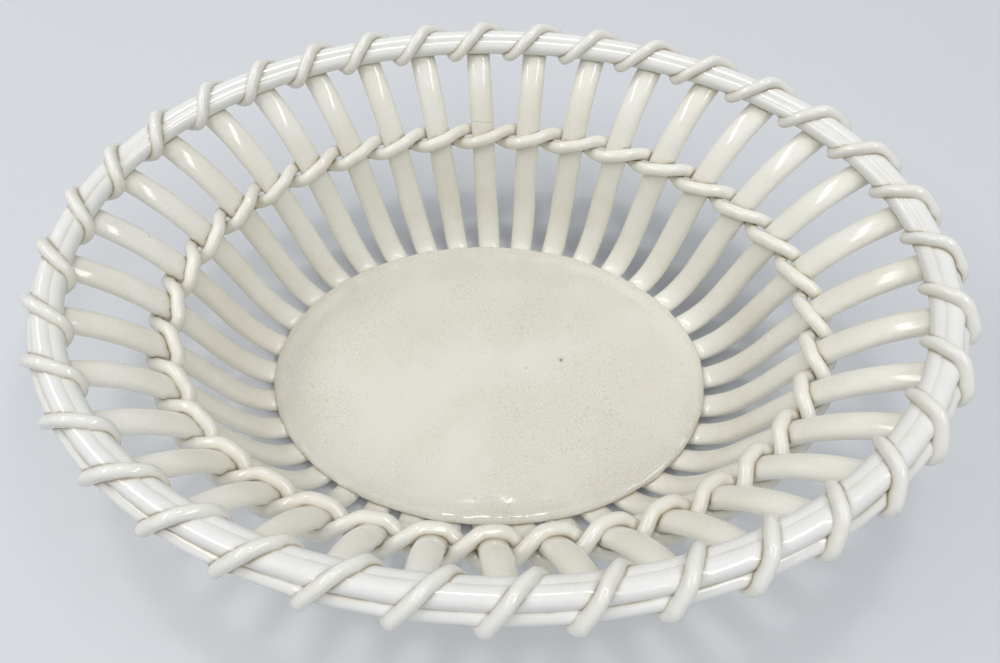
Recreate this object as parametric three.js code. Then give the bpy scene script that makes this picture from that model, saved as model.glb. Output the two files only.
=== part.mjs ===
// An openwork oval basket of glazed cream-coloured earthenware, put together by hand from rolled clay.
// Flattened ribs rise from the edge of an oval plate, stand up, then flare out under a rim of three rods.
// One cord binds the rods, with a turn to each rib, and two strands pair round the ribs as a band.
// Millimetres, +Z up. The basket stands on the plane Z = 0, and the middle of its box is over the origin.
import * as THREE from "three";

// The rim: its oval and its height are those of the top rod's centre line, and the other two rods lie against it
const rimLength = 250.5;
const rimWidth = 187.5;
const rimHeight = 73.5;
const rimFullnessShare = 1.025;
const topRodDiameter = 4.7;
const innerRodDiameter = 2.8;
const innerRodDropDegrees = 24;
const lowerRodDiameter = 3.4;
const lowerRodDropDegrees = 47;

// The plate and the foot under it: the foot is set in, which leaves a lip over the ends of the ribs
const plateLength = 152.4;
const plateWidth = 111.2;
const plateFullnessShare = 1.015;
const plateShiftX = -2.9;
const plateShiftY = -0.5;
const lipThickness = 1.9;
const lipReach = 5;
const lipRounding = 0.6;

// The ribs: a straight end that runs out from under the lip, then one S-shaped sweep up to the rods
const ribPairCount = 18;
const ribWidth = 8.3;
const ribThickness = 4.5;
const ribEndThickness = 3.8;
const ribFloorGap = 0.9;
const ribRunOut = 1;
const ribRiseDegrees = 22;
const ribRiseShare = 0.445;
const ribFlareDegrees = 27;
const ribFlareShare = 0.282;
const ribStationShares = [0.16, 0.33, 0.5, 0.66, 0.83, 1];

// The spacing of the ribs, in shares of a gap: it drifts twice round the oval, at the rim and at the plate
const rimStartShare = 0.572;
const rimDriftShare = 0.174;
const rimDriftStartShare = 0.051;
const plateStartShare = 0.74;
const plateDriftShare = 0.12;
const plateDriftStartShare = 0;

// The band of two strands
const strandDiameter = 4;
const bandPlaceShare = 0.66;

// The binding cord, and how far past its rib it has come at each of its steps round each rod
const cordDiameter = 2.9;
const cordInnerShares = [-0.46, -0.45, -0.42, -0.33];
const cordTopShares = [-0.17, -0.06, 0.05];
const cordLowerShares = [0.13, 0.21, 0.28, 0.34, 0.41];

// The gap that parted clay faces keep, and the wider one where a strand crosses a rib's curved face
const seam = 0.3;
const bandSeam = 0.5;

// How finely the pieces are faceted
const ovalSampleCount = 1440;
const ringStationCount = 72;
const rodSideCount = 8;
const ribSideCount = 8;
const cordSideCount = 5;

const ribCount = 2 * ribPairCount;
const TURN = 2 * Math.PI;
const UP = new THREE.Vector3(0, 0, 1);

function radians(degrees) {
  return THREE.MathUtils.degToRad(degrees);
}

// A number raised to a power with its sign kept, which makes an ellipse fuller at its shoulders
function fuller(value, power) {
  return Math.sign(value) * Math.abs(value) ** power;
}

// A fuller ellipse walked clockwise, seen from above, from its far side by shares of its length round
class Oval {
  constructor(length, width, fullnessShare, centreX, centreY) {
    this.halfLength = length / 2;
    this.halfWidth = width / 2;
    this.power = 1 / fullnessShare;
    this.centre = new THREE.Vector2(centreX, centreY);
    this.walked = [0];
    for (let i = 1; i <= ovalSampleCount; i++) {
      const step = this.at(i / ovalSampleCount).distanceTo(this.at((i - 1) / ovalSampleCount));
      this.walked.push(this.walked[i - 1] + step);
    }
  }

  get around() {
    return this.walked[ovalSampleCount];
  }

  // The point at a share of the full angle
  at(angleShare) {
    const angle = TURN * angleShare;
    const x = this.halfLength * fuller(Math.sin(angle), this.power);
    const y = this.halfWidth * fuller(Math.cos(angle), this.power);
    return new THREE.Vector2(x, y).add(this.centre);
  }

  // The point and the outward direction at a share of the length round
  walk(share) {
    const target = THREE.MathUtils.euclideanModulo(share, 1) * this.around;
    let low = 0;
    let high = ovalSampleCount;
    while (high - low > 1) {
      const middle = (low + high) >> 1;
      if (this.walked[middle] > target) high = middle;
      else low = middle;
    }
    const within = (target - this.walked[low]) / (this.walked[high] - this.walked[low]);
    const along = this.at(high / ovalSampleCount).sub(this.at(low / ovalSampleCount)).normalize();
    const point = this.at((low + within) / ovalSampleCount);
    return { point, outward: new THREE.Vector2(-along.y, along.x) };
  }
}

const rimOval = new Oval(rimLength, rimWidth, rimFullnessShare, 0, 0);
const plateOval = new Oval(plateLength, plateWidth, plateFullnessShare, plateShiftX, plateShiftY);

// A point of the rim's cross-section, out and up from the top rod's centre, at a share of the way round
function rimPoint(share, out, up) {
  const { point, outward } = rimOval.walk(share);
  return new THREE.Vector3(point.x + outward.x * out, point.y + outward.y * out, rimHeight + up);
}

// A rod of the rim's cross-section, laid against the top rod to one side of it and lower by an angle
function rodBeside(diameter, outwards, dropDegrees) {
  const apart = (topRodDiameter + diameter) / 2 + seam;
  const across = outwards * apart * Math.cos(radians(dropDegrees));
  return { radius: diameter / 2, centre: new THREE.Vector2(across, -apart * Math.sin(radians(dropDegrees))) };
}

const rods = {
  inner: rodBeside(innerRodDiameter, -1, innerRodDropDegrees),
  top: { radius: topRodDiameter / 2, centre: new THREE.Vector2(0, 0) },
  lower: rodBeside(lowerRodDiameter, 1, lowerRodDropDegrees),
};

// Which way the outer tangent that two circles share faces, for circles met clockwise
function tangentAngle(from, to) {
  const step = to.centre.clone().sub(from.centre);
  return Math.atan2(step.y, step.x) + Math.acos((from.reach - to.reach) / step.length());
}

// Joins rings of points into one closed surface: round to the first ring, or capped at both ends
function skin(rings, closed) {
  const size = rings[0].length;
  const positions = rings.flat().flatMap((point) => point.toArray());
  const faces = [];
  const joined = closed ? rings.length : rings.length - 1;
  for (let i = 0; i < joined; i++) {
    const here = i * size;
    const next = ((i + 1) % rings.length) * size;
    for (let j = 0; j < size; j++) {
      const k = (j + 1) % size;
      faces.push(here + j, here + k, next + k, here + j, next + k, next + j);
    }
  }
  if (!closed) {
    const last = (rings.length - 1) * size;
    for (let j = 1; j < size - 1; j++) faces.push(0, j + 1, j, last, last + j, last + j + 1);
  }
  const geometry = new THREE.BufferGeometry();
  geometry.setAttribute("position", new THREE.Float32BufferAttribute(positions, 3));
  geometry.setIndex(faces);
  geometry.computeVertexNormals();
  return geometry;
}

// A ring of points in an elliptical section, whose two half axes turn the right way for the direction of travel
function sectionRing(centre, side, over, sideCount) {
  return Array.from({ length: sideCount }, (_, j) => {
    const angle = (TURN * j) / sideCount;
    return centre.clone().addScaledVector(side, Math.cos(angle)).addScaledVector(over, Math.sin(angle));
  });
}

// A round closed tube through points; each axis is a direction that the tube there never runs along
function roundTube(points, axes, diameter, sideCount) {
  const count = points.length;
  const rings = points.map((point, i) => {
    const travel = points[(i + 1) % count].clone().sub(points[(i + count - 1) % count]).normalize();
    const side = travel.clone().cross(axes[i]).setLength(diameter / 2);
    const over = side.clone().cross(travel).negate();
    return sectionRing(point, side, over, sideCount);
  });
  return skin(rings, true);
}

// The least gap of a closed tube to itself, between places that lie further apart along it than they are near
function leastSelfGap(points, diameter) {
  const count = points.length;
  const walked = [0];
  for (let i = 1; i <= count; i++) walked.push(walked[i - 1] + points[i % count].distanceTo(points[i - 1]));
  let least = Infinity;
  for (let i = 0; i < count; i++) {
    for (let j = i + 1; j < count; j++) {
      const apart = Math.min(walked[j] - walked[i], walked[count] - walked[j] + walked[i]);
      if (apart > Math.PI * diameter) least = Math.min(least, points[i].distanceTo(points[j]) - diameter);
    }
  }
  return least;
}

// Where rib number i stands, as a share of the way round: any whole number, so that gaps can be measured
function ribTurn(i, startShare, driftShare, driftStartShare) {
  const middle = (i + 0.5) / ribCount;
  const drift = driftShare * Math.sin(2 * TURN * (middle - driftStartShare));
  return (i + startShare + drift) / ribCount;
}

function ribRimTurn(i) {
  return ribTurn(i, rimStartShare, rimDriftShare, rimDriftStartShare);
}

function ribPlateTurn(i) {
  return ribTurn(i, plateStartShare, plateDriftShare, plateDriftStartShare);
}

// Where a rib's centre line ends in the rim's cross-section: its face under the inner rod, its tip against the top one
function ribEnd() {
  const along = new THREE.Vector2(Math.cos(radians(ribFlareDegrees)), Math.sin(radians(ribFlareDegrees)));
  const over = new THREE.Vector2(-along.y, along.x);
  const depth = rods.inner.centre.dot(over) - rods.inner.radius - seam - ribThickness / 2;
  const short = (rods.top.radius + seam) ** 2 - (depth + ribThickness / 2) ** 2;
  return over.multiplyScalar(depth).add(along.multiplyScalar(-Math.sqrt(Math.max(0, short))));
}

// One rib's upright plane and the S-shaped sweep in it: x is out from the plate's edge and y is up
function ribSweep(i) {
  const foot = plateOval.walk(ribPlateTurn(i));
  const head = rimOval.walk(ribRimTurn(i));
  const outward = head.point.clone().sub(foot.point).normalize();
  const end = ribEnd();
  const reach = foot.point.distanceTo(head.point) + end.x / head.outward.dot(outward);
  const seatHeight = ribFloorGap + ribEndThickness / 2;
  const topHeight = rimHeight + end.y;
  const rise = ribRiseShare * reach;
  const flare = ribFlareShare * reach;
  const curve = new THREE.CubicBezierCurve(
    new THREE.Vector2(ribRunOut, seatHeight),
    new THREE.Vector2(rise, seatHeight + rise * Math.tan(radians(ribRiseDegrees))),
    new THREE.Vector2(flare, topHeight - (reach - flare) * Math.tan(radians(ribFlareDegrees))),
    new THREE.Vector2(reach, topHeight),
  );
  return { curve, outward, reach, foot, head };
}

// The centre and the three directions of a rib at a point of its sweep; its face turns with the two ovals
function ribFrame(sweep, point, lean) {
  const { outward, reach, foot, head } = sweep;
  const facing = foot.outward.clone().lerp(head.outward, THREE.MathUtils.clamp(point.x / reach, 0, 1)).normalize();
  const along = new THREE.Vector3(outward.x * lean.x, outward.y * lean.x, lean.y);
  const clockwise = new THREE.Vector3(facing.y, -facing.x, 0);
  return {
    centre: new THREE.Vector3(foot.point.x + outward.x * point.x, foot.point.y + outward.y * point.x, point.y),
    along,
    clockwise,
    inward: clockwise.clone().cross(along).normalize(),
    skew: facing.dot(outward),
  };
}

function ribFrameAt(sweep, share) {
  return ribFrame(sweep, sweep.curve.getPoint(share), sweep.curve.getTangent(share));
}

function ribRing({ centre, clockwise, inward, skew }, thickness) {
  const side = clockwise.clone().multiplyScalar(ribWidth / 2 / skew);
  return sectionRing(centre, side, inward.clone().multiplyScalar(-thickness / 2), ribSideCount);
}

function ribGeometry(i) {
  const sweep = ribSweep(i);
  const level = new THREE.Vector2(1, 0);
  const runOut = sweep.curve.getPoint(0);
  const tucked = new THREE.Vector2(seam - lipReach, runOut.y);
  const rings = [tucked, runOut].map((point) => ribRing(ribFrame(sweep, point, level), ribEndThickness));
  for (const share of ribStationShares) rings.push(ribRing(ribFrameAt(sweep, share), ribThickness));
  return skin(rings, false);
}

// A rod of the rim, all the way round
function rodGeometry({ centre, radius }) {
  const points = [];
  for (let i = 0; i < ringStationCount; i++) points.push(rimPoint(i / ringStationCount, centre.x, centre.y));
  return roundTube(points, points.map(() => UP), 2 * radius, rodSideCount);
}

// The plate with its rounded lip, on a foot with a flat underside
function plateGeometry() {
  const lipUnder = ribFloorGap + ribEndThickness + seam;
  const plateTop = lipUnder + lipThickness;
  const profile = [
    { inset: lipReach, height: 0 },
    { inset: lipReach, height: lipUnder },
    { inset: lipRounding, height: lipUnder },
    { inset: 0, height: lipUnder + lipRounding },
    { inset: 0, height: plateTop - lipRounding },
    { inset: lipRounding, height: plateTop },
  ];
  const rings = profile.map(({ inset, height }) =>
    Array.from({ length: ringStationCount }, (_, i) => {
      const { point, outward } = plateOval.walk(-i / ringStationCount);
      return new THREE.Vector3(point.x - outward.x * inset, point.y - outward.y * inset, height);
    }),
  );
  return skin(rings, false);
}

// The half gap of a strand's way past a rib: round the rib's face, then straight to the middle of the gap
function strandHalfGap(gap) {
  const past = (ribWidth + strandDiameter) / 2 + bandSeam;
  const over = (ribThickness + strandDiameter) / 2 + bandSeam;
  const leave = Math.acos(Math.min(1, past / (gap / 2)));
  const wider = 1 / Math.cos((Math.PI / 2 - leave) / 4);
  return [Math.PI / 2, (Math.PI / 2 + leave) / 2, leave].map((angle) => ({
    along: wider * past * Math.cos(angle),
    depth: wider * over * Math.sin(angle),
  }));
}

// The points of one strand: inside even ribs and outside odd ones, or the other way round, turning as it goes
function strandPoints(startsInside) {
  const climb = (strandDiameter + seam) / 2;
  const frames = Array.from({ length: ribCount }, (_, i) => ribFrameAt(ribSweep(i), bandPlaceShare));
  const points = [];
  frames.forEach((here, i) => {
    const next = frames[(i + 1) % ribCount];
    const gap = here.centre.distanceTo(next.centre);
    const inside = (i % 2 === 0) === startsInside ? 1 : -1;
    const half = strandHalfGap(gap);
    const stations = half.map(({ along, depth }) => ({ at: along / gap, depth: inside * depth }));
    stations.push({ at: 0.5, depth: 0 });
    half.slice(1).reverse().forEach(({ along, depth }) => stations.push({ at: 1 - along / gap, depth: -inside * depth }));
    for (const { at, depth } of stations) {
      const inward = here.inward.clone().lerp(next.inward, at).normalize();
      const along = here.along.clone().lerp(next.along, at).normalize();
      const point = here.centre.clone().lerp(next.centre, at);
      const height = inside * climb * Math.sin(Math.PI * at);
      points.push(point.addScaledVector(inward, depth).addScaledVector(along, height));
    }
  });
  return points;
}

// The cord's stations in the rim's cross-section, each with its advance; they stand clear of the rods' faces
function cordStations() {
  const arcs = [
    { rod: rods.inner, advances: cordInnerShares },
    { rod: rods.top, advances: cordTopShares },
    { rod: rods.lower, advances: cordLowerShares },
  ].map(({ rod, advances }) => ({ ...rod, advances, reach: rod.radius + seam + cordDiameter / 2 }));
  const leaves = arcs.map((arc, i) => tangentAngle(arc, arcs[(i + 1) % arcs.length]));
  return arcs.flatMap(({ centre, reach, advances }, i) => {
    const from = leaves[(i + arcs.length - 1) % arcs.length];
    const turned = THREE.MathUtils.euclideanModulo(from - leaves[i], TURN);
    const stepCount = advances.length - 1;
    const clear = reach / Math.cos(turned / stepCount / 2);
    return advances.map((advance, step) => {
      const angle = from - (turned * step) / stepCount;
      return { out: centre.x + clear * Math.cos(angle), up: centre.y + clear * Math.sin(angle), advance };
    });
  });
}

// The binding: over the rods from inside to outside beside each rib, then back under them through the gap
function bindingPath() {
  const stations = cordStations();
  const points = [];
  const axes = [];
  for (let i = 0; i < ribCount; i++) {
    for (const { out, up, advance } of stations) {
      const here = ribRimTurn(i);
      const gap = advance < 0 ? here - ribRimTurn(i - 1) : ribRimTurn(i + 1) - here;
      const share = here + advance * gap;
      const { outward } = rimOval.walk(share);
      points.push(rimPoint(share, out, up));
      axes.push(new THREE.Vector3(outward.y, -outward.x, 0));
    }
  }
  return { points, axes };
}

const glaze = { color: 0xe2dcca, roughness: 0.18, metalness: 0 };
const basket = new THREE.Group();

function addPiece(name, geometry) {
  const mesh = new THREE.Mesh(geometry, new THREE.MeshStandardMaterial(glaze));
  mesh.name = name;
  basket.add(mesh);
}

addPiece("base_plate", plateGeometry());
for (let i = 0; i < ribCount; i++) addPiece(`rib_${String(i + 1).padStart(2, "0")}`, ribGeometry(i));
addPiece("rim_rod_inner", rodGeometry(rods.inner));
addPiece("rim_rod_top", rodGeometry(rods.top));
addPiece("rim_rod_lower", rodGeometry(rods.lower));

for (const [name, startsInside] of [["band_strand_a", true], ["band_strand_b", false]]) {
  const points = strandPoints(startsInside);
  addPiece(name, roundTube(points, points.map(() => UP), strandDiameter, cordSideCount));
  console.log(`${name}: least gap to itself ${leastSelfGap(points, strandDiameter).toFixed(2)} mm`);
}

const binding = bindingPath();
addPiece("rim_binding", roundTube(binding.points, binding.axes, cordDiameter, cordSideCount));
console.log(`rim_binding: least gap to itself ${leastSelfGap(binding.points, cordDiameter).toFixed(2)} mm`);

export default basket;
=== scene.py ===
"""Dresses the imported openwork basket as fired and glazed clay, and stands it on a plain pale table.

The basket is cream-coloured earthenware put together by hand: flattened ribs rise from an oval plate, two
strands pair round them as a band, and a cord binds three rods into a rim. Every piece is swept from a section
along its own line, pressed and luted into its neighbours, and glazed. Lengths are in metres, in the basket's
own frame, +Z up.
"""

from __future__ import annotations

import bisect
import logging
import math
from collections.abc import Iterable, Sequence
from dataclasses import dataclass, field
from enum import Enum

import bmesh
import bpy
from mathutils import Matrix, Vector, noise
from mathutils.bvhtree import BVHTree

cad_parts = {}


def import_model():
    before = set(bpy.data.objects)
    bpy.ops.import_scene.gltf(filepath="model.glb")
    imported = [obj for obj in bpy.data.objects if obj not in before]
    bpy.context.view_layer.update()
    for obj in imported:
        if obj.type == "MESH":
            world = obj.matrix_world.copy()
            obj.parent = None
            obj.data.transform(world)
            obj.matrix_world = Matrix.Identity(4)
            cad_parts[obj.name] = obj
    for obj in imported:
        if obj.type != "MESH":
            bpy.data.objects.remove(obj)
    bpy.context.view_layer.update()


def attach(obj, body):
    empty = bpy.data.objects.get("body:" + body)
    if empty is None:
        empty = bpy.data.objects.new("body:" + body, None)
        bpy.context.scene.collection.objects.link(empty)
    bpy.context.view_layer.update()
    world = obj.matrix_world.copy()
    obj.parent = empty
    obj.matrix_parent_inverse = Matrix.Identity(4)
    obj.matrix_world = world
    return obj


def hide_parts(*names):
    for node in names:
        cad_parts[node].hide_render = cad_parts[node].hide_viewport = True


MM = 0.001
TURN = 2 * math.pi
UP = Vector((0, 0, 1))
END_ANGLE = 0.47 * math.pi
BODY = "root"
NOISE_SEED = 7
INDEX_SPAN = 2**20

log = logging.getLogger("basket")

Colour = tuple[float, float, float, float]


class RodPlace(Enum):
    """The three rods of the rim, by the node that each stands for."""

    INNER = "rim_rod_inner"
    TOP = "rim_rod_top"
    LOWER = "rim_rod_lower"


class StrandStart(Enum):
    """The two strands of the band, by the side of the first rib that each passes: 1 inside, -1 outside."""

    INSIDE = 1
    OUTSIDE = -1


def fuller(value: float, power: float) -> float:
    """Raises a number to a power and keeps its sign, which makes an ellipse fuller at its shoulders.

    Args:
        value: The number, from -1 to 1.
        power: The power, under 1 for a fuller shape.

    Returns:
        The raised number.
    """
    return math.copysign(abs(value) ** power, value)


def eased(value: float) -> float:
    """Turns a share from 0 to 1 into one that starts and ends gently."""
    share = min(1.0, max(0.0, value))
    return share * share * (3 - 2 * share)


@dataclass
class Oval:
    """A fuller ellipse, walked clockwise seen from above, from its far side, by shares of its length."""

    length: float
    width: float
    fullness: float
    centre: Vector
    samples: int = 1440
    walked: list[float] = field(default_factory=lambda: [0.0])

    def __post_init__(self) -> None:
        """Measures the way round."""
        for i in range(self.samples):
            step = (self.at((i + 1) / self.samples) - self.at(i / self.samples)).length
            self.walked.append(self.walked[-1] + step)

    def at(self, angle_share: float) -> Vector:
        """Finds the point at a share of the full angle.

        Args:
            angle_share: The share of a full turn.

        Returns:
            The point, level with the origin.
        """
        angle = TURN * angle_share
        x = self.length / 2 * fuller(math.sin(angle), 1 / self.fullness)
        y = self.width / 2 * fuller(math.cos(angle), 1 / self.fullness)
        return self.centre + Vector((x, y, 0))

    def walk(self, share: float) -> tuple[Vector, Vector]:
        """Finds a place by how far round it lies.

        Args:
            share: The share of the length round, of any size.

        Returns:
            The point and the level direction that points out of the oval there.
        """
        target = (share % 1.0) * self.walked[-1]
        high = min(self.samples, max(1, bisect.bisect_left(self.walked, target)))
        low = high - 1
        within = (target - self.walked[low]) / (self.walked[high] - self.walked[low])
        along = (self.at(high / self.samples) - self.at(low / self.samples)).normalized()
        return self.at((low + within) / self.samples), Vector((-along.y, along.x, 0))


@dataclass(frozen=True)
class Unevenness:
    """How far hand-rolled clay strays from true, as smooth noise through the space that it fills."""

    stray: float
    swelling: float
    wavelength: float
    seed: float

    def shift(self, point: Vector) -> Vector:
        """Gives how far the clay's middle has strayed at a point."""
        return noise.noise_vector(point / self.wavelength + Vector((self.seed, 0, 0))) * self.stray

    def swell(self, point: Vector) -> float:
        """Gives the factor by which the clay is thicker or thinner at a point."""
        return 1 + self.swelling * noise.noise(point / self.wavelength + Vector((0, self.seed, 0)))


@dataclass(frozen=True)
class Station:
    """One section of a swept piece: its middle and its two half axes."""

    centre: Vector
    side: Vector
    over: Vector

    def matrix(self) -> Matrix:
        """Builds the transform that sets a unit section in place.

        Returns:
            The matrix, whose third axis runs along the piece.
        """
        along = self.side.cross(self.over).normalized() * self.side.length
        return Matrix.Translation(self.centre) @ Matrix((self.side, self.over, along)).transposed().to_4x4()

    def shrunk(self, share: float, forward: Vector) -> Station:
        """Gives a smaller copy of this section, moved on, as the next step of a rounded end."""
        return Station(self.centre + forward, self.side * share, self.over * share)


@dataclass(frozen=True)
class Section:
    """The outline that a sweep draws: how many sides it has and how full its shoulders are."""

    sides: int
    fullness: float = 1.0

    def lay(self, bm: bmesh.types.BMesh, station: Station) -> list[bmesh.types.BMEdge]:
        """Draws the outline at a station.

        Args:
            bm: The mesh being built.
            station: Where the outline goes.

        Returns:
            The outline's edges.
        """
        verts = bmesh.ops.create_circle(bm, cap_ends=False, segments=self.sides, radius=1.0)["verts"]
        for vert in verts:
            vert.co = Vector((fuller(vert.co.x, 1 / self.fullness), fuller(vert.co.y, 1 / self.fullness), 0))
        bmesh.ops.transform(bm, matrix=station.matrix(), verts=verts)
        return list(dict.fromkeys(edge for vert in verts for edge in vert.link_edges))


def rounded_ends(stations: list[Station], steps: int = 4) -> list[Station]:
    """Rounds both ends of an open run of stations, down to a small face that closes each.

    Args:
        stations: The stations from end to end.
        steps: How many smaller sections each end gets.

    Returns:
        The stations with the ends' own added.
    """
    head, tail = [], []
    for k in range(1, steps + 1):
        angle = END_ANGLE * k / steps
        for run, near, beyond in ((head, stations[0], stations[1]), (tail, stations[-1], stations[-2])):
            out = (near.centre - beyond.centre).normalized() * near.over.length
            run.append(near.shrunk(math.cos(angle), out * math.sin(angle)))
    return head[::-1] + stations + tail


def grown(
    bm: bmesh.types.BMesh, edges: Sequence[bmesh.types.BMEdge]
) -> tuple[list[bmesh.types.BMVert], list[bmesh.types.BMEdge]]:
    """Extrudes a closed outline by one step.

    Args:
        bm: The mesh being built.
        edges: The outline's edges.

    Returns:
        The new outline's points and its edges.
    """
    made = bmesh.ops.extrude_edge_only(bm, edges=edges)["geom"]
    verts = [item for item in made if isinstance(item, bmesh.types.BMVert)]
    fresh = set(verts)
    sides = [item for item in made if isinstance(item, bmesh.types.BMEdge)]
    return verts, [edge for edge in sides if fresh.issuperset(edge.verts)]


def sweep(name: str, section: Section, stations: Sequence[Station], closed: bool) -> bpy.types.Object:
    """Extrudes a section from station to station.

    Args:
        name: The piece's name.
        section: The outline.
        stations: Where the outline stands on its way.
        closed: Whether the last section joins the first one.

    Returns:
        The piece, smooth and with its faces pointing out.
    """
    bm = bmesh.new()
    first = section.lay(bm, stations[0])
    edges = first
    before = stations[0].matrix()
    for station in stations[1:]:
        verts, edges = grown(bm, edges)
        after = station.matrix()
        bmesh.ops.transform(bm, matrix=after @ before.inverted(), verts=verts)
        before = after
    if closed:
        bmesh.ops.bridge_loops(bm, edges=first + edges)
    else:
        bmesh.ops.edgeloop_fill(bm, edges=first)
        bmesh.ops.edgeloop_fill(bm, edges=edges)
    return finished(name, bm)


def face_rank(face: bmesh.types.BMFace) -> int:
    """Ranks a face by its points' numbers, so that every run of the script keeps its faces in one order."""
    numbers = [vert.index for vert in face.verts]
    return min(numbers) * INDEX_SPAN + max(numbers)


def finished(name: str, bm: bmesh.types.BMesh) -> bpy.types.Object:
    """Turns a built mesh into a piece of the basket.

    Args:
        name: The piece's name.
        bm: The mesh, which is freed.

    Returns:
        The piece, linked to the scene.
    """
    bmesh.ops.recalc_face_normals(bm, faces=bm.faces)
    bm.verts.index_update()
    bm.faces.sort(key=face_rank)
    for face in bm.faces:
        face.smooth = True
    mesh = bpy.data.meshes.new(name)
    bm.to_mesh(mesh)
    bm.free()
    piece = bpy.data.objects.new(name, mesh)
    bpy.context.scene.collection.objects.link(piece)
    return piece


def glided(points: Sequence[Vector], steps: int, lap: Vector) -> list[Vector]:
    """Draws a smooth closed line through points.

    Args:
        points: The points of one lap.
        steps: How many points stand for each gap between two of them.
        lap: What one whole lap adds to a point, which is nothing where the line closes in space.

    Returns:
        The finer points of one lap.
    """
    count = len(points)

    def knot(i: int) -> Vector:
        """Gives a point by its number, also before the first and past the last."""
        return points[i % count] + lap * (i // count)

    line = []
    for i in range(count):
        a, b, c, d = (knot(i + k) for k in (-1, 0, 1, 2))
        for step in range(steps):
            t = step / steps
            curve = 2 * b + (c - a) * t + (2 * a - 5 * b + 4 * c - d) * t**2 + (3 * b - a - 3 * c + d) * t**3
            line.append(curve / 2)
    return line


def round_tube(
    name: str,
    line: Sequence[Vector],
    axes: Sequence[Vector],
    radii: Sequence[float],
    sides: int,
    clay: Unevenness,
) -> bpy.types.Object:
    """Rolls a closed round coil of clay along a line.

    Args:
        name: The piece's name.
        line: The middle of the coil, point by point.
        axes: For each point, a direction that the coil never runs along there.
        radii: The coil's radius at each point.
        sides: How many sides its section has.
        clay: How uneven it is.

    Returns:
        The piece.
    """
    count = len(line)
    stations = []
    for i, (point, axis, radius) in enumerate(zip(line, axes, radii)):
        travel = (line[(i + 1) % count] - line[i - 1]).normalized()
        side = travel.cross(axis).normalized()
        half = radius * clay.swell(point)
        stations.append(Station(point + clay.shift(point), side * half, side.cross(travel) * half))
    return sweep(name, Section(sides), stations, closed=True)


@dataclass(frozen=True)
class RodSeat:
    """Where a rod lies in the rim's section, out and up from the top rod's middle, and how thick it is."""

    out: float
    up: float
    radius: float


@dataclass
class Rim:
    """The three rods of the rim, pressed side against side."""

    height: float = 73.5 * MM
    sides: int = 36
    stations: int = 720
    oval: Oval = field(default_factory=lambda: Oval(250.5 * MM, 187.5 * MM, 1.025, Vector()))
    clay: Unevenness = Unevenness(0.12 * MM, 0.05, 16 * MM, 3.0)
    seats: dict[RodPlace, RodSeat] = field(
        default_factory=lambda: {
            RodPlace.INNER: RodSeat(-3.2 * MM, -1.2 * MM, 1.98 * MM),
            RodPlace.TOP: RodSeat(0.0, 0.0, 2.43 * MM),
            RodPlace.LOWER: RodSeat(2.95 * MM, -2.95 * MM, 1.95 * MM),
        }
    )

    def point(self, share: float, out: float, up: float) -> Vector:
        """Finds a point of the rim's section.

        Args:
            share: How far round the rim it lies.
            out: How far out from the top rod's middle.
            up: How far up from it.

        Returns:
            The point.
        """
        place, outward = self.oval.walk(share)
        return place + outward * out + UP * (self.height + up)

    def rod(self, place: RodPlace) -> bpy.types.Object:
        """Rolls one rod.

        Args:
            place: Which rod.

        Returns:
            The piece.
        """
        seat = self.seats[place]
        line = [self.point(i / self.stations, seat.out, seat.up) for i in range(self.stations)]
        radii = [seat.radius] * self.stations
        piece = round_tube(f"fired_{place.value}", line, [UP] * self.stations, radii, self.sides, self.clay)
        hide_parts(place.value)
        return piece


@dataclass(frozen=True)
class RibLine:
    """The upright plane of one rib and the S-shaped line in it, out from the plate's edge and up."""

    knots: tuple[Vector, Vector, Vector, Vector]
    foot: Vector
    outward: Vector
    facings: tuple[Vector, Vector]
    reach: float

    def flat(self, share: float) -> tuple[Vector, Vector]:
        """Finds the line's own point and direction at a share of it, in its plane.

        Args:
            share: How far along the S-shaped stretch.

        Returns:
            The point and the direction, as out and up.
        """
        a, b, c, d = self.knots
        t, s = share, 1 - share
        point = a * s**3 + b * (3 * s * s * t) + c * (3 * s * t * t) + d * t**3
        lean = (b - a) * (s * s) + (c - b) * (2 * s * t) + (d - c) * (t * t)
        return point, lean.normalized()


@dataclass(frozen=True)
class RibFrame:
    """The middle of a rib's section and its directions: along it, clockwise, and into the bowl."""

    centre: Vector
    along: Vector
    clockwise: Vector
    inward: Vector
    skew: float


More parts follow.
